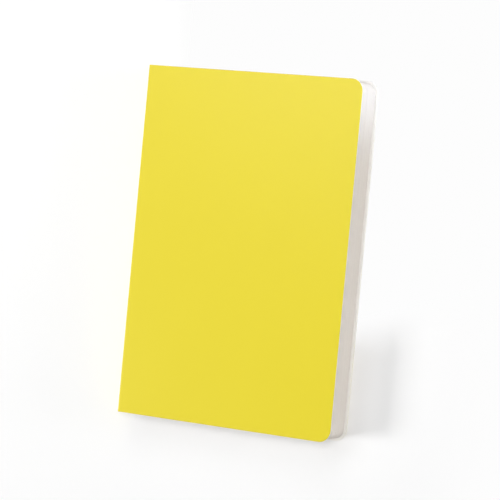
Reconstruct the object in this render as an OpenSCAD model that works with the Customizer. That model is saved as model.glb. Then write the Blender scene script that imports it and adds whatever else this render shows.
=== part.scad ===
// Soft-cover notebook, lying closed on its back cover.
// X runs from the spine to the fore edge, Y from tail to head, and Z up through the leaves.
// The origin is on the surface it lies on, under the middle of the notebook.

/* [Notebook] */
// Width of the closed notebook, from the spine to the fore edge
book_w = 148; // [120:0.5:190]
// Height of the notebook, from tail to head
book_h = 210; // [160:0.5:270]

/* [Cover] */
// Thickness of the soft cover sheet
cover_t = 0.8; // [0.5:0.05:1.2]
// Radius of the cover's two corners at the fore edge
corner_r = 7.5; // [5:0.25:14]
// Slit between the spine strip and each cover, which lets the cover swing
fold_gap = 0.15; // [0.1:0.05:0.3]

/* [Endpapers] */
// Thickness of the endpaper pasted inside each cover
endpaper_t = 0.2; // [0.1:0.05:0.4]
// Width of bare cover left round the edge of each endpaper
endpaper_margin = 0.4; // [0.2:0.1:1.5]

/* [Page block] */
// Thickness of all the leaves pressed together
block_t = 17.3; // [6:0.1:35]
// How far the covers stand past the leaves at head, tail and fore edge
overhang = 1.5; // [1:0.1:3.5]
// Air between the outermost leaf and the endpaper
leaf_air = 0.1; // [0.05:0.05:0.3]
// Thickness of the glue that holds the leaves to the spine strip
glue_t = 0.4; // [0.2:0.05:1]

/* [Hidden] */

// Heights of the surfaces, counted up from the one it lies on
back_endpaper_z = cover_t;
block_z = back_endpaper_z + endpaper_t + leaf_air;
front_endpaper_z = block_z + block_t + leaf_air;
front_cover_z = front_endpaper_z + endpaper_t;
book_t = front_cover_z + cover_t;

// Places across the width
spine_x = -book_w / 2;
fore_x = book_w / 2;
hinge_x = spine_x + cover_t / 2;
glue_x = spine_x + cover_t;
block_x = glue_x + glue_t;

// Length of the leaves, which the spine's glue shares
leaf_h = book_h - 2 * overhang;

cover_yellow = "#EDDC4A";
endpaper_white = "#F2EFEA";
leaf_white = "#F4F1EC";
glue_amber = "#DCCB9A";

arc_steps = 96;

// A sheet that is square at the spine and round-cornered at the fore edge
module sheet(from_x, to_x, length, r) {
    translate([from_x, -length / 2])
        square([to_x - r - from_x, length]);
    translate([from_x, r - length / 2])
        square([to_x - from_x, length - 2 * r]);
    for (side = [-1, 1])
        translate([to_x - r, side * (length / 2 - r)])
            circle(r, $fn = arc_steps);
}

// One cover: a panel with a round edge along the line that it swings about
module cover_panel() {
    linear_extrude(cover_t)
        sheet(hinge_x, fore_x, book_h, corner_r);
    translate([hinge_x, 0, cover_t / 2])
        rotate([90, 0, 0])
            cylinder(h = book_h, d = cover_t, center = true, $fn = arc_steps);
}

// One endpaper, pasted on its cover from the leaves' back edge to just short of the cover's edge
module endpaper() {
    linear_extrude(endpaper_t)
        sheet(block_x, fore_x - endpaper_margin, book_h - 2 * endpaper_margin,
              corner_r - endpaper_margin);
}

module front_cover() {
    color(cover_yellow)
        translate([0, 0, front_cover_z])
            cover_panel();
}

module back_cover() {
    color(cover_yellow)
        cover_panel();
}

// The strip of the cover sheet that stands behind the leaves, between the two folds
module cover_spine() {
    strip_z = cover_t + fold_gap;
    strip_t = book_t - 2 * strip_z;
    color(cover_yellow)
        translate([spine_x, -book_h / 2, strip_z])
            cube([cover_t, book_h, strip_t]);
}

module page_block() {
    color(leaf_white)
        translate([0, 0, block_z])
            linear_extrude(block_t)
                sheet(block_x, fore_x - overhang, leaf_h, corner_r - overhang);
}

module spine_glue() {
    color(glue_amber)
        translate([glue_x, -leaf_h / 2, block_z])
            cube([glue_t, leaf_h, block_t]);
}

module front_endpaper() {
    color(endpaper_white)
        translate([0, 0, front_endpaper_z])
            endpaper();
}

module back_endpaper() {
    color(endpaper_white)
        translate([0, 0, back_endpaper_z])
            endpaper();
}

front_cover();
cover_spine();
back_cover();
page_block();
spine_glue();
front_endpaper();
back_endpaper();
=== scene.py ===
# %% [markdown]
# # A soft-cover notebook
#
# The notebook lies closed on its back cover. X runs from the spine to the fore edge, Y from tail to
# head, and Z up through the leaves. Everything is in metres. The solids of the frame give every place
# and size, so the pieces made here fit the same folds, leaves and covers.

# %% Load the frame
import math

import bmesh
import bpy
from mathutils import Matrix, Vector


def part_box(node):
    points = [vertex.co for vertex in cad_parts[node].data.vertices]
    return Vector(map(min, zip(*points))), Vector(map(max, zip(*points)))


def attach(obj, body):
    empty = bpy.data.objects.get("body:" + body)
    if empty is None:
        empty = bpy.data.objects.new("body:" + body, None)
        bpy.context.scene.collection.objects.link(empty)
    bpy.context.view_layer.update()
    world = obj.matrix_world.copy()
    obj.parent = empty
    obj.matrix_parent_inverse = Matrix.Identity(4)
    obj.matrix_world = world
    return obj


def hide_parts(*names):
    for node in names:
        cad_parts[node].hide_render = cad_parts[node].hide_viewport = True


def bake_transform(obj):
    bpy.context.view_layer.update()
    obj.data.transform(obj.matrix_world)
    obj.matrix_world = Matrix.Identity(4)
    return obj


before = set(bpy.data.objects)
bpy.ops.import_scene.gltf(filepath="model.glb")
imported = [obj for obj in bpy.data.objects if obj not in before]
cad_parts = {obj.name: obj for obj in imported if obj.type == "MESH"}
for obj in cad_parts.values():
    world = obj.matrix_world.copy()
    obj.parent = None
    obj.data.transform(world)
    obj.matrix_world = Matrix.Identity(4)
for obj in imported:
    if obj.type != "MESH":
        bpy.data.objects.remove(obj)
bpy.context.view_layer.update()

print("solids:", sorted(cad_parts))

# %% [markdown]
# ## Sizes
#
# A box of a solid gives its lowest and highest corner. The cover's thickness, the height of the
# notebook and the place of its folds all follow from three such boxes. Only what a box can't tell,
# such as the radius of a corner, is a value of its own.

# %% Read the sizes from the frame
MM = 0.001

front_low, front_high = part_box("front_cover")
back_low, back_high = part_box("back_cover")
block_low, block_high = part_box("page_block")

COVER_T = front_high.z - front_low.z
BOOK_T = front_high.z
BOOK_H = front_high.y - front_low.y
SPINE_X = front_low.x
FORE_X = front_high.x
OVERHANG = FORE_X - block_high.x
CORNER_R = 7.5 * MM

print(f"notebook {(FORE_X - SPINE_X) / MM:.1f} x {BOOK_H / MM:.1f} x {BOOK_T / MM:.1f} mm")
print(f"cover {COVER_T / MM:.2f} mm thick, standing {OVERHANG / MM:.1f} mm past the leaves")

# %% [markdown]
# ## Camera
#
# The photograph looks at the front cover from the fore edge's side, so a strip of the leaves shows
# beside it. The camera is placed the way a photographer would say it: how far it is tipped away from
# straight above the cover, how far it is turned toward the head, how far away it is, and how much it
# leans. The notebook stands upright there and lies flat here, so the camera looks down on it, with
# the head at the top of the picture.

# %% Place the camera
LENS_MM = 188
SENSOR_MM = 36
CAMERA_TIP = math.radians(31.3)
CAMERA_TURN = math.radians(2.94)
CAMERA_DISTANCE = 1531 * MM
CAMERA_LEAN = math.radians(5.33)
CAMERA_AIM = Vector((8.88 * MM, 0.66 * MM, BOOK_T))


def place_camera():
    """A camera that looks at the cover as the photograph does."""
    data = bpy.data.cameras.new("camera")
    data.lens = LENS_MM
    data.sensor_width = SENSOR_MM
    camera = bpy.data.objects.new("camera", data)
    bpy.context.scene.collection.objects.link(camera)
    sideways = math.sin(CAMERA_TIP)
    toward = Vector((
        sideways * math.cos(CAMERA_TURN),
        sideways * math.sin(CAMERA_TURN),
        math.cos(CAMERA_TIP),
    ))
    head = Vector((0, 1, 0))
    right = head.cross(toward).normalized()
    up = toward.cross(right)
    turned = Matrix((right, up, toward)).transposed() @ Matrix.Rotation(CAMERA_LEAN, 3, "Z")
    camera.matrix_world = Matrix.Translation(CAMERA_AIM + CAMERA_DISTANCE * toward) @ turned.to_4x4()
    bpy.context.scene.camera = camera
    return camera


camera = place_camera()
print("camera at", [round(x, 3) for x in camera.matrix_world.translation])

# %% [markdown]
# ## Shader helpers
#
# A material is a small tree of nodes. A few helpers keep the trees short. They add a node with its
# values, give a socket a value or a link, do a sum, and make a material with its shader. Colours are
# written as on a colour picker, from 0 to 255, and turned into the linear values that a shader needs.


# %% Helpers for materials
def linear(red, green, blue):
    """A colour of 0 to 255 a channel as the linear colour that a shader takes."""
    def channel(value):
        share = value / 255
        return share / 12.92 if share <= 0.04045 else ((share + 0.055) / 1.055) ** 2.4
    return (channel(red), channel(green), channel(blue), 1)


def add_node(tree, kind, inputs=None, **settings):
    """A new node of that kind, with its settings and the values of its inputs."""
    node = tree.nodes.new(kind)
    for name, value in settings.items():
        setattr(node, name, value)
    for name, value in (inputs or {}).items():
        node.inputs[name].default_value = value
    return node


def set_or_link(tree, socket, value):
    """Gives a socket a plain value, or links it to another node's output."""
    if isinstance(value, bpy.types.NodeSocket):
        tree.links.new(value, socket)
    else:
        socket.default_value = value


def math_node(tree, operation, first, second):
    """A sum, product or the like of two values, each a number or an output."""
    node = add_node(tree, "ShaderNodeMath", operation=operation)
    set_or_link(tree, node.inputs[0], first)
    set_or_link(tree, node.inputs[1], second)
    return node.outputs[0]


def new_material(name, **shader_values):
    """A material with one Principled shader. Returns it with its tree and its shader."""
    material = bpy.data.materials.new(name)
    material.use_nodes = True
    tree = material.node_tree
    shader = tree.nodes["Principled BSDF"]
    for socket, value in shader_values.items():
        shader.inputs[socket.replace("_", " ")].default_value = value
    return material, tree, shader


# %% [markdown]
# ## Grain
#
# Paper, card and a coated cover all have a fine grain and broad, faint clouds of lighter and darker
# tone. One node group makes both for any of them. It takes a size and a strength for the grain, and
# the same two for the clouds. It gives a tone to multiply a colour by, a height to dent the surface
# with, and the clouds by themselves for the gloss.


# %% Build the grain group
GRAIN_DETAIL = 3.0
CLOUD_DETAIL = 2.0
NOISE_ROUGHNESS = 0.6
NOISE_MIDDLE = 0.5


def build_grain_group():
    """A group that gives a tone, a height and a cloud value from a place on the piece."""
    group = bpy.data.node_groups.new("sheet_grain", "ShaderNodeTree")
    sockets = group.interface
    for name in ("Grain Size", "Grain Tone", "Cloud Size", "Cloud Tone"):
        sockets.new_socket(name, in_out="INPUT", socket_type="NodeSocketFloat")
    for name in ("Tone", "Height", "Cloud"):
        sockets.new_socket(name, in_out="OUTPUT", socket_type="NodeSocketFloat")
    given = add_node(group, "NodeGroupInput").outputs
    result = add_node(group, "NodeGroupOutput").inputs
    place = add_node(group, "ShaderNodeTexCoord").outputs["Object"]

    def noise_of(size, detail):
        noise = add_node(group, "ShaderNodeTexNoise", {"Detail": detail, "Roughness": NOISE_ROUGHNESS})
        set_or_link(group, noise.inputs["Vector"], place)
        set_or_link(group, noise.inputs["Scale"], math_node(group, "DIVIDE", 1.0, size))
        return noise.outputs["Fac"]

    def centred(value, strength):
        return math_node(group, "MULTIPLY", math_node(group, "SUBTRACT", value, NOISE_MIDDLE), strength)

    grain = noise_of(given["Grain Size"], GRAIN_DETAIL)
    cloud = noise_of(given["Cloud Size"], CLOUD_DETAIL)
    grain_tone = centred(grain, given["Grain Tone"])
    cloud_tone = centred(cloud, given["Cloud Tone"])
    both = math_node(group, "ADD", grain_tone, cloud_tone)
    set_or_link(group, result["Tone"], math_node(group, "ADD", both, 1.0))
    set_or_link(group, result["Height"], grain)
    set_or_link(group, result["Cloud"], cloud)
    return group


grain_group = build_grain_group()
print("group", grain_group.name, "with", len(grain_group.nodes), "nodes")


# %% [markdown]
# Each material places the group with its own values. This helper does the three usual things with
# it: the tone multiplies the colour, the height dents the surface, and the clouds shift the
# roughness a little, as handling and uneven coating do.


# %% Put the grain into a material
def grain_in(tree, shader, colour, sizes, dent, roughness):
    """Links the grain group to a shader's colour, normal and roughness, and returns the colour."""
    grain = add_node(tree, "ShaderNodeGroup", node_tree=grain_group)
    for name, value in sizes.items():
        grain.inputs[name].default_value = value
    link = tree.links.new
    shade = add_node(tree, "ShaderNodeVectorMath", {0: colour[:3]}, operation="SCALE")
    link(grain.outputs["Tone"], shade.inputs["Scale"])
    link(shade.outputs["Vector"], shader.inputs["Base Color"])
    bump = add_node(tree, "ShaderNodeBump", {"Strength": 1.0, "Distance": dent})
    link(grain.outputs["Height"], bump.inputs["Height"])
    link(bump.outputs["Normal"], shader.inputs["Normal"])
    gloss = add_node(tree, "ShaderNodeMapRange", {"To Min": roughness[0], "To Max": roughness[1]})
    link(grain.outputs["Cloud"], gloss.inputs["Value"])
    link(gloss.outputs["Result"], shader.inputs["Roughness"])
    return shade.outputs["Vector"]


# %% [markdown]
# ## Finishes
#
# The cover is a yellow, matt, soft coat on a pale card. The coat covers the outer face and turns just
# over its edge. The cut edge and the inner face are the bare card. The endpapers and the leaves are
# off-white papers, and the leaves are a little warmer.


# %% Make the materials
DARKEST_LEAF = 0.92


def cover_coat():
    """Smooth yellow soft-touch coat."""
    material, tree, shader = new_material("cover_coat", Specular_IOR_Level=0.45)
    sizes = {"Grain Size": 0.22 * MM, "Grain Tone": 0.01, "Cloud Size": 45 * MM, "Cloud Tone": 0.02}
    grain_in(tree, shader, linear(231, 213, 30), sizes, 0.003 * MM, (0.29, 0.32))
    return material


def cover_card():
    """The pale card under the coat, on the cut edge and the inner face."""
    material, tree, shader = new_material("cover_card", Specular_IOR_Level=0.3)
    sizes = {"Grain Size": 0.15 * MM, "Grain Tone": 0.08, "Cloud Size": 20 * MM, "Cloud Tone": 0.02}
    grain_in(tree, shader, linear(248, 246, 242), sizes, 0.01 * MM, (0.75, 0.85))
    return material


def endpaper_sheet():
    """Smooth off-white paper pasted inside the covers."""
    material, tree, shader = new_material("endpaper_sheet", Specular_IOR_Level=0.3)
    sizes = {"Grain Size": 0.5 * MM, "Grain Tone": 0.04, "Cloud Size": 12 * MM, "Cloud Tone": 0.02}
    grain_in(tree, shader, linear(245, 242, 237), sizes, 0.008 * MM, (0.8, 0.9))
    return material


def leaf_paper():
    """Off-white writing paper. Each leaf is a hair lighter or darker than the next."""
    material, tree, shader = new_material("leaf_paper", Specular_IOR_Level=0.3)
    sizes = {"Grain Size": 0.35 * MM, "Grain Tone": 0.04, "Cloud Size": 15 * MM, "Cloud Tone": 0.015}
    toned = grain_in(tree, shader, linear(238, 231, 223), sizes, 0.006 * MM, (0.82, 0.92))
    shade = add_node(tree, "ShaderNodeAttribute", attribute_name="leaf_shade")
    level = add_node(tree, "ShaderNodeMapRange", {"To Min": DARKEST_LEAF, "To Max": 1.0})
    scaled = add_node(tree, "ShaderNodeVectorMath", operation="SCALE")
    tree.links.new(shade.outputs["Fac"], level.inputs["Value"])
    tree.links.new(toned, scaled.inputs[0])
    tree.links.new(level.outputs["Result"], scaled.inputs["Scale"])
    tree.links.new(scaled.outputs["Vector"], shader.inputs["Base Color"])
    return material


def binding_glue():
    """Set hot glue, smooth and a little yellow."""
    material, tree, shader = new_material("binding_glue", Specular_IOR_Level=0.5)
    sizes = {"Grain Size": 2 * MM, "Grain Tone": 0.06, "Cloud Size": 15 * MM, "Cloud Tone": 0.05}
    grain_in(tree, shader, linear(220, 205, 160), sizes, 0.03 * MM, (0.3, 0.45))
    return material


coat = cover_coat()
card = cover_card()
endpaper = endpaper_sheet()
paper = leaf_paper()
glue = binding_glue()
print("materials:", [m.name for m in (coat, card, endpaper, paper, glue)])

# %% [markdown]
# ## Sheets
#
# Apart from the glue, every piece of a notebook is cut from a flat sheet, so one outline serves them
# all: square at the spine and round at the two fore-edge corners. An extra point next to each round
# corner keeps the shading of the long straight sides flat.


# %% Outline of a sheet
CORNER_STEPS = 14
FLAT_MARGIN = 0.4 * MM
SMOOTH_BELOW = math.radians(35)


def sheet_outline(from_x, to_x, length, radius):
    """Points round a sheet from the spine's tail end, with round corners at the fore edge."""
    half = length / 2
    centre_x, centre_y = to_x - radius, radius - half
    tail = [(from_x, -half), (from_x + FLAT_MARGIN, -half), (centre_x - FLAT_MARGIN, -half)]
    for step in range(CORNER_STEPS + 1):
        angle = math.radians(90 * step / CORNER_STEPS)
        tail.append((centre_x + radius * math.sin(angle), centre_y - radius * math.cos(angle)))
    tail.append((to_x, radius + FLAT_MARGIN - half))
    head = [(x, -y) for x, y in reversed(tail)]
    return tail + head


def mesh_piece(name, points, faces, face_materials, materials):
    """A mesh object with outward faces, smooth where neighbouring faces meet at a small angle."""
    mesh = bpy.data.meshes.new(name)
    mesh.from_pydata(points, [], faces)
    for polygon, index in zip(mesh.polygons, face_materials):
        polygon.material_index = index
    shape = bmesh.new()
    shape.from_mesh(mesh)
    bmesh.ops.recalc_face_normals(shape, faces=shape.faces)
    shape.to_mesh(mesh)
    shape.free()
    for material in materials:
        mesh.materials.append(material)
    mesh.shade_smooth()
    mesh.set_sharp_from_angle(angle=SMOOTH_BELOW)
    piece = bpy.data.objects.new(name, mesh)
    bpy.context.scene.collection.objects.link(piece)
    print(f"{name}: {len(mesh.polygons)} faces")
    return piece


# %% [markdown]
# ## Cover panels
#
# A cover panel is the flat part of the cover sheet, from just past the fold to the fore edge. It is a
# stack of outlines: the edge is rounded where the coat turns over it, straight where the card was
# cut, and slightly rounded on the inside. The back panel is the same stack the other way up.

# %% Make the two panels
COAT_EDGE_R = 0.22 * MM
CARD_EDGE_R = 0.1 * MM
EDGE_STEPS = 4
FOLD_REACH = 3 * MM
COAT, CARD = 0, 1


def edge_profile(thickness, low_radius, high_radius):
    """Pairs of inset and height up the edge of a sheet, from its lower face to its upper face."""
    low, high = [], []
    for step in range(EDGE_STEPS + 1):
        angle = math.radians(90 * step / EDGE_STEPS)
        from_sine, from_cosine = 1 - math.sin(angle), 1 - math.cos(angle)
        low.append((low_radius * from_sine, low_radius * from_cosine))
        high.append((high_radius * from_cosine, thickness - high_radius * from_sine))
    return [(low_radius + FLAT_MARGIN, 0), *low, *high, (high_radius + FLAT_MARGIN, thickness)]


def cover_panel(name, low_z, coat_is_up):
    """The flat part of one cover, coated on its outer face."""
    radii = (CARD_EDGE_R, COAT_EDGE_R) if coat_is_up else (COAT_EDGE_R, CARD_EDGE_R)
    profile = edge_profile(COVER_T, *radii)
    panel_x = SPINE_X + FOLD_REACH
    points, faces, finishes = [], [], []
    for inset, height in profile:
        outline = sheet_outline(panel_x, FORE_X - inset, BOOK_H - 2 * inset, CORNER_R - inset)
        points += [(x, y, low_z + height) for x, y in outline]
    count = len(points) // len(profile)
    last = len(profile) - 1
    middle = last / 2
    for ring in range(last):
        is_coat = ring > middle if coat_is_up else ring < middle - 1
        for i in range(count):
            j = (i + 1) % count
            low, high = ring * count, (ring + 1) * count
            faces.append((low + i, low + j, high + j, high + i))
            finishes.append(COAT if is_coat else CARD)
    faces.append(tuple(range(count)))
    finishes.append(CARD if coat_is_up else COAT)
    faces.append(tuple(range(last * count, (last + 1) * count)))
    finishes.append(COAT if coat_is_up else CARD)
    return mesh_piece(name, points, faces, finishes, (coat, card))


front_panel = cover_panel("front_cover_sheet", front_low.z, True)
back_panel = cover_panel("back_cover_sheet", back_low.z, False)

# %% [markdown]
# ## Folds and spine
#
# The cover turns round the spine in two folds. Each fold is a short strip of the same sheet, swept
# round a quarter circle: the section of the sheet stays the same, and only its place and direction
# change along the way. The spine strip between them is the same sweep along a straight line.

# %% Sweep the cover's section
FOLD_INNER_R = 0.1 * MM
FOLD_STEPS = 24


def sheet_section():
    """The cover's section across its length, and the finish of each of its stretches.

    A point of it is a place along Y and a height over the sheet's middle plane.
    """
    half, rise = BOOK_H / 2, COVER_T / 2
    side = []
    for inset, height in edge_profile(COVER_T, CARD_EDGE_R, COAT_EDGE_R):
        side.append((half - inset, height - rise))
    other = [(-y, height) for y, height in reversed(side)]
    section = side + other
    coat_from = CARD_EDGE_R / 2
    finishes = []
    for i in range(len(section)):
        heights = section[i][1], section[(i + 1) % len(section)][1]
        finishes.append(COAT if min(heights) > coat_from else CARD)
    return section, finishes


def sweep_cover(name, path):
    """The cover's section carried along a path of points, each with its outward direction."""
    section, stretch_finishes = sheet_section()
    points, faces, finishes = [], [], []
    for place, outward in path:
        for y, rise in section:
            points.append((place.x + outward.x * rise, y, place.z + outward.z * rise))
    count = len(section)
    for ring in range(len(path) - 1):
        for i in range(count):
            j = (i + 1) % count
            low, high = ring * count, (ring + 1) * count
            faces.append((low + i, low + j, high + j, high + i))
            finishes.append(stretch_finishes[i])
    faces.append(tuple(range(count)))
    faces.append(tuple(range((len(path) - 1) * count, len(path) * count)))
    finishes += [CARD, CARD]
    return mesh_piece(name, points, faces, finishes, (coat, card))


def fold_path(up):
    """From the spine strip round a fold to its panel: the front one for 1, the back one for -1."""
    radius = FOLD_INNER_R + COVER_T / 2
    inset = COVER_T + FOLD_INNER_R
    centre = Vector((SPINE_X + inset, 0, BOOK_T / 2 + up * (BOOK_T / 2 - inset)))
    end_z = BOOK_T / 2 + up * (BOOK_T / 2 - FOLD_REACH)
    path = [(Vector((SPINE_X + COVER_T / 2, 0, end_z)), Vector((-1, 0, 0)))]
    for step in range(FOLD_STEPS + 1):
        angle = math.radians(90 * step / FOLD_STEPS)
        outward = Vector((-math.cos(angle), 0, up * math.sin(angle)))
        path.append((centre + outward * radius, outward))
    path.append((Vector((SPINE_X + FOLD_REACH, 0, path[-1][0].z)), Vector((0, 0, up))))
    return path


front_fold = sweep_cover("front_cover_fold_strip", fold_path(1))
back_fold = sweep_cover("back_cover_fold_strip", fold_path(-1))
spine_middle = SPINE_X + COVER_T / 2
spine_strip = sweep_cover("spine_sheet", [
    (Vector((spine_middle, 0, FOLD_REACH)), Vector((-1, 0, 0))),
    (Vector((spine_middle, 0, BOOK_T - FOLD_REACH)), Vector((-1, 0, 0))),
])

# %% [markdown]
# ## Leaves
#
# The block is a stack of equal leaves, which is what Geometry Nodes do well: one leaf goes in, a line
# of points holds the stack's places, and each place gets a copy. A knife never cuts a stack quite
# flush, so each leaf is shifted by a few hundredths of a millimetre. Each one also stores a shade of
# its own for the paper's finish.

# %% Build the leaf stack tree
LEAF_COUNT = 160
LEAF_PITCH = (block_high.z - block_low.z) / LEAF_COUNT
LEAF_FILL = 0.96
LEAF_SHIFT = 0.03 * MM
LEAF_SEED = 7


def one_leaf():
    """The lowest leaf of the block, closed on all sides."""
    leaf_h = block_high.y - block_low.y
    outline = sheet_outline(block_low.x, block_high.x, leaf_h, CORNER_R - OVERHANG)
    count = len(outline)
    points = [(x, y, block_low.z + z) for z in (0, LEAF_PITCH * LEAF_FILL) for x, y in outline]
    faces = [(i, (i + 1) % count, count + (i + 1) % count, count + i) for i in range(count)]
    faces += [tuple(range(count)), tuple(range(count, 2 * count))]
    return mesh_piece("page_block_leaves", points, faces, [0] * len(faces), (paper,))


def leaf_stack_tree():
    """Copies the incoming leaf up a line, shifts each copy a little and stores its shade."""
    tree = bpy.data.node_groups.new("leaf_stack", "GeometryNodeTree")
    sockets = tree.interface
    for name, kind in (
        ("Leaf", "Geometry"),
        ("Leaves", "Int"),
        ("Pitch", "Float"),
        ("Shift", "Float"),
        ("Seed", "Int"),
        ("Paper", "Material"),
    ):
        sockets.new_socket(name, in_out="INPUT", socket_type="NodeSocket" + kind)
    sockets.new_socket("Stack", in_out="OUTPUT", socket_type="NodeSocketGeometry")
    given = add_node(tree, "NodeGroupInput")
    result = add_node(tree, "NodeGroupOutput")
    line = add_node(tree, "GeometryNodeMeshLine", mode="OFFSET")
    offset = add_node(tree, "ShaderNodeCombineXYZ")
    copies = add_node(tree, "GeometryNodeInstanceOnPoints")
    least = add_node(tree, "ShaderNodeMath", {1: -1.0}, operation="MULTIPLY")
    low_corner = add_node(tree, "ShaderNodeCombineXYZ")
    high_corner = add_node(tree, "ShaderNodeCombineXYZ")
    shift = add_node(tree, "FunctionNodeRandomValue", data_type="FLOAT_VECTOR")
    moved = add_node(tree, "GeometryNodeTranslateInstances")
    tone = add_node(tree, "FunctionNodeRandomValue", data_type="FLOAT")
    stored = add_node(tree, "GeometryNodeStoreNamedAttribute", {"Name": "leaf_shade"}, domain="INSTANCE")
    real = add_node(tree, "GeometryNodeRealizeInstances")
    painted = add_node(tree, "GeometryNodeSetMaterial")
    link = tree.links.new
    link(given.outputs["Pitch"], offset.inputs["Z"])
    link(given.outputs["Leaves"], line.inputs["Count"])
    link(offset.outputs["Vector"], line.inputs["Offset"])
    link(line.outputs["Mesh"], copies.inputs["Points"])
    link(given.outputs["Leaf"], copies.inputs["Instance"])
    link(given.outputs["Shift"], least.inputs[0])
    for axis in ("X", "Y"):
        link(least.outputs[0], low_corner.inputs[axis])
        link(given.outputs["Shift"], high_corner.inputs[axis])
    link(low_corner.outputs["Vector"], shift.inputs["Min"])
    link(high_corner.outputs["Vector"], shift.inputs["Max"])
    link(given.outputs["Seed"], shift.inputs["Seed"])
    link(copies.outputs["Instances"], moved.inputs["Instances"])
    link(shift.outputs["Value"], moved.inputs["Translation"])
    link(given.outputs["Seed"], tone.inputs["Seed"])
    link(moved.outputs["Instances"], stored.inputs["Geometry"])
    link(tone.outputs[1], stored.inputs["Value"])
    link(stored.outputs["Geometry"], real.inputs["Geometry"])
    link(real.outputs["Geometry"], painted.inputs["Geometry"])
    link(given.outputs["Paper"], painted.inputs["Material"])
    link(painted.outputs["Geometry"], result.inputs["Stack"])
    return tree


def settle_modifier(piece, modifier):
    """Turns what the modifier makes into a plain mesh, and takes the modifier away."""
    bpy.context.view_layer.update()
    shown = piece.evaluated_get(bpy.context.evaluated_depsgraph_get())
    mesh = bpy.data.meshes.new_from_object(shown)
    piece.modifiers.remove(modifier)
    piece.data = mesh
    return piece


def stack_leaves(leaf):
    """The whole block, from its lowest leaf."""
    tree = leaf_stack_tree()
    values = {
        "Leaves": LEAF_COUNT,
        "Pitch": LEAF_PITCH,
        "Shift": LEAF_SHIFT,
        "Seed": LEAF_SEED,
        "Paper": paper,
    }
    modifier = leaf.modifiers.new("stack", "NODES")
    modifier.node_group = tree
    for socket in tree.interface.items_tree:
        if socket.name in values:
            modifier[socket.identifier] = values[socket.name]
    return settle_modifier(leaf, modifier)


leaves = stack_leaves(one_leaf())
print("leaves:", LEAF_COUNT, "in", len(leaves.data.polygons), "faces")

# %% [markdown]
# Each endpaper is one folded sheet. One half is pasted to its cover, and the other half turns with the
# leaves, so the outermost leaf at each side of the block takes the endpaper's finish.


# %% Give the outermost leaves the endpaper's finish
def dress_outer_leaves(block):
    """The faces come leaf by leaf, so the first and the last share belong to the outermost leaves."""
    block.data.materials.append(endpaper)
    faces = block.data.polygons
    leaf_faces = len(faces) // LEAF_COUNT
    for face in (*faces[:leaf_faces], *faces[-leaf_faces:]):
        face.material_index = 1
    return leaf_faces


print("faces of one leaf:", dress_outer_leaves(leaves))

# %% [markdown]
# ## Endpapers and glue
#
# The endpapers and the glue are plain in shape, so their solids stay and only take a finish. A solid
# of the frame keeps its place and its mesh, and gets the new material in its slots.


# %% Dress the solids that stay
def dress(node, material):
    """Gives a solid of the frame a new finish."""
    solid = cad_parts[node]
    solid.data.materials.clear()
    solid.data.materials.append(material)


dress("front_endpaper", endpaper)
dress("back_endpaper", endpaper)
dress("spine_glue", glue)

# %% [markdown]
# ## What moves with what
#
# The covers swing about their folds. A panel rides on its cover, and the spine strip and the leaves
# ride on the block. A fold strip lies between the block and a cover; here it only has its place
# baked into its mesh and is joined to no body.


# %% Join the pieces to the bodies
def bend_at_fold(piece):
    """Bakes a fold strip's place into its mesh; the strip is joined to no body."""
    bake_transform(piece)


bend_at_fold(front_fold)
bend_at_fold(back_fold)
for piece, body, node in (
    (front_panel, "front", "front_cover"),
    (back_panel, "back", "back_cover"),
    (spine_strip, "block", "cover_spine"),
    (leaves, "block", "page_block"),
):
    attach(piece, body)
    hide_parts(node)

# %% [markdown]
# ## Studio
#
# The photograph has a white ground with a soft shadow beside the tail. The lamps light the floor just
# to white, so it keeps every shadow near the notebook and still looks like plain white paper. A lying
# notebook also throws a shadow along its whole fore edge, which the photograph does not have, so there
# the floor fades to plain white toward the head. Far from the notebook it is plain white too. From
# below the floor is clear, so the back cover can be seen.

# %% Make the floor and the world
FLOOR_SIZE = 3.0
GROUND_WHITE = 0.982
GROUND_COLOUR = (0.99, 0.99, 0.99, 1)
SLANT = (-0.3, 1, 0)
SLANT_START = -84 * MM
SLANT_END = -55 * MM
SPINE_SIDE = SPINE_X - 15 * MM
FORE_SIDE = SPINE_X + 15 * MM
FAR_START = 40 * MM
FAR_END = 100 * MM
WORLD_LEVEL = 0.18


def camera_sees(tree):
    """1 for rays that show the background: seen directly, in a reflection or through glass."""
    path = add_node(tree, "ShaderNodeLightPath")
    first = math_node(tree, "MAXIMUM", path.outputs["Is Camera Ray"], path.outputs["Is Glossy Ray"])
    return math_node(tree, "MAXIMUM", first, path.outputs["Is Transmission Ray"])


def vector_node(tree, operation, first, second):
    """A vector sum, product or the like of an output and a plain vector."""
    node = add_node(tree, "ShaderNodeVectorMath", operation=operation)
    set_or_link(tree, node.inputs[0], first)
    set_or_link(tree, node.inputs[1], second)
    return node


def soft_step(tree, value, start, end):
    """0 before the start and 1 past the end, with a smooth rise between them."""
    step = add_node(tree, "ShaderNodeMapRange", {"From Min": start, "From Max": end},
                    interpolation_type="SMOOTHSTEP")
    tree.links.new(value, step.inputs["Value"])
    return step.outputs["Result"]


def far_from_notebook(tree, place):
    """1 far from the floor that the notebook covers when it lies open, 0 near it."""
    centred = vector_node(tree, "SUBTRACT", place, (SPINE_X, 0, 0)).outputs["Vector"]
    folded = vector_node(tree, "ABSOLUTE", centred, (0, 0, 0)).outputs["Vector"]
    beyond = vector_node(tree, "SUBTRACT", folded, (FORE_X - SPINE_X, BOOK_H / 2, 0)).outputs["Vector"]
    outside = vector_node(tree, "MAXIMUM", beyond, (0, 0, 0)).outputs["Vector"]
    distance = vector_node(tree, "LENGTH", outside, (0, 0, 0)).outputs["Value"]
    return soft_step(tree, distance, FAR_START, FAR_END)


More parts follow.
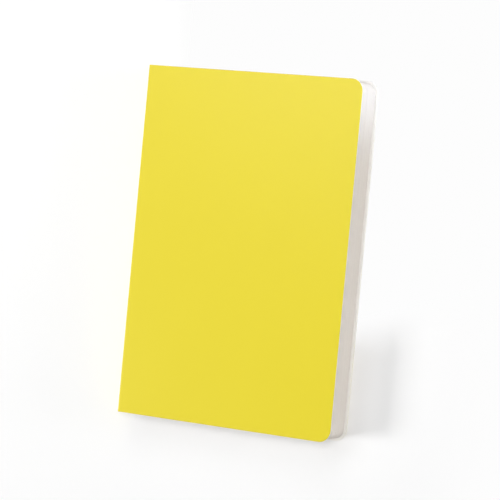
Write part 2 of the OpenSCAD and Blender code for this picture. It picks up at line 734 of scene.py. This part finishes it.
def toward_head(tree, place):
    """1 beside the fore edge toward the head, 0 at the tail and on the spine's side."""
    along = vector_node(tree, "DOT_PRODUCT", place, SLANT).outputs["Value"]
    across = vector_node(tree, "DOT_PRODUCT", place, (1, 0, 0)).outputs["Value"]
    headward = soft_step(tree, along, SLANT_START, SLANT_END)
    foreward = soft_step(tree, across, SPINE_SIDE, FORE_SIDE)
    return math_node(tree, "MULTIPLY", headward, foreward)


def floor_material():
    """White ground that keeps the shadows near the notebook and is clear from below."""
    material = bpy.data.materials.new("studio_floor")
    material.use_nodes = True
    tree = material.node_tree
    tree.nodes.clear()
    link = tree.links.new
    output = add_node(tree, "ShaderNodeOutputMaterial")
    place = add_node(tree, "ShaderNodeTexCoord").outputs["Object"]
    seen = camera_sees(tree)
    lit = add_node(tree, "ShaderNodeBsdfDiffuse", {"Color": GROUND_COLOUR})
    white = add_node(tree, "ShaderNodeEmission", {"Color": (1, 1, 1, 1), "Strength": GROUND_WHITE})
    plain = math_node(tree, "MAXIMUM", far_from_notebook(tree, place), toward_head(tree, place))
    ground = add_node(tree, "ShaderNodeMixShader")
    link(math_node(tree, "MULTIPLY", plain, seen), ground.inputs[0])
    link(lit.outputs[0], ground.inputs[1])
    link(white.outputs[0], ground.inputs[2])
    clear = add_node(tree, "ShaderNodeBsdfTransparent")
    side = add_node(tree, "ShaderNodeNewGeometry")
    shown = add_node(tree, "ShaderNodeMixShader")
    link(side.outputs["Backfacing"], shown.inputs[0])
    link(ground.outputs[0], shown.inputs[1])
    link(clear.outputs[0], shown.inputs[2])
    link(shown.outputs[0], output.inputs["Surface"])
    return material


def make_floor():
    """A wide flat floor under the notebook."""
    half = FLOOR_SIZE / 2
    mesh = bpy.data.meshes.new("studio_floor")
    corners = [(-half, -half, 0), (half, -half, 0), (half, half, 0), (-half, half, 0)]
    mesh.from_pydata(corners, [], [(0, 1, 2, 3)])
    mesh.materials.append(floor_material())
    floor = bpy.data.objects.new("studio_floor", mesh)
    bpy.context.scene.collection.objects.link(floor)
    return floor


def make_world():
    """Soft light from all round, and plain white where the camera sees past the floor."""
    world = bpy.data.worlds.new("studio")
    world.use_nodes = True
    bpy.context.scene.world = world
    tree = world.node_tree
    tree.nodes.clear()
    output = add_node(tree, "ShaderNodeOutputWorld")
    soft = add_node(tree, "ShaderNodeBackground", {"Color": (1, 1, 1, 1), "Strength": WORLD_LEVEL})
    white = add_node(tree, "ShaderNodeBackground", {"Color": (1, 1, 1, 1), "Strength": GROUND_WHITE})
    mix = add_node(tree, "ShaderNodeMixShader")
    tree.links.new(camera_sees(tree), mix.inputs[0])
    tree.links.new(soft.outputs[0], mix.inputs[1])
    tree.links.new(white.outputs[0], mix.inputs[2])
    tree.links.new(mix.outputs[0], output.inputs["Surface"])


floor = make_floor()
make_world()
print("floor", FLOOR_SIZE, "m wide")

# %% [markdown]
# ## Lamps
#
# Soft square lamps stand round the notebook, each with its place and side in metres. The front one
# lights the cover and the pale lips from the camera's side, and the low one reaches the leaves under
# the front cover's edge. The sheen lamp is where the cover's coat mirrors it toward the camera, more
# so at the head. The shadow lamp is beyond the spine and throws the shadow past the fore edge. The
# head lamp throws the faint one under the tail. A narrow beam brightens the fore edge toward the head.

# %% Place the soft lamps
BOOK_MIDDLE = Vector((0, 0, BOOK_T / 2))


def add_lamp(name, kind, place, aim, watts):
    """A lamp at a place, turned toward a point."""
    data = bpy.data.lights.new(name, kind)
    data.energy = watts
    lamp = bpy.data.objects.new(name, data)
    lamp.location = place
    lamp.rotation_euler = (Vector(aim) - Vector(place)).to_track_quat("-Z", "Y").to_euler()
    bpy.context.scene.collection.objects.link(lamp)
    return lamp


def area_lamp(name, place, size, watts):
    """A square soft lamp that looks at the notebook."""
    lamp = add_lamp(name, "AREA", place, BOOK_MIDDLE, watts)
    lamp.data.size = size
    return lamp


area_lamp("front_lamp", place=(0.7, 0.15, 1.6), size=0.5, watts=10.3)
area_lamp("low_lamp", place=(1.4, 0.1, 0.3), size=0.3, watts=3.5)
area_lamp("sheen_lamp", place=(-0.48, 0.3, 1.0), size=0.45, watts=1.9)
area_lamp("shadow_lamp", place=(-2.0, -0.53, 1.24), size=0.66, watts=30.0)
area_lamp("head_lamp", place=(0.15, 1.35, 1.27), size=0.9, watts=5.6)

# %% Place the beam on the fore edge
BEAM_PLACE = Vector((0.5, 0.16, 0.03))
BEAM_AIM = Vector((FORE_X, BOOK_H / 2 + 45 * MM, BOOK_T / 2))
BEAM_RADIUS = 95 * MM
BEAM_COLOUR = (0.67, 0.8, 1.0)
BEAM_SOURCE_R = 10 * MM


def beam_lamp(name, watts):
    """A narrow beam that fades out from its middle to its rim."""
    lamp = add_lamp(name, "SPOT", BEAM_PLACE, BEAM_AIM, watts)
    lamp.data.spot_size = 2 * math.atan(BEAM_RADIUS / (BEAM_AIM - BEAM_PLACE).length)
    lamp.data.spot_blend = 1.0
    lamp.data.shadow_soft_size = BEAM_SOURCE_R
    lamp.data.color = BEAM_COLOUR
    lamp.visible_camera = False
    return lamp


beam_lamp("beam_lamp", watts=5.5)

# %% [markdown]
# ## Finish
#
# The render settings stay as they are, apart from the plain view transform.

# %% Set the view transform
bpy.context.scene.view_settings.view_transform = "Standard"
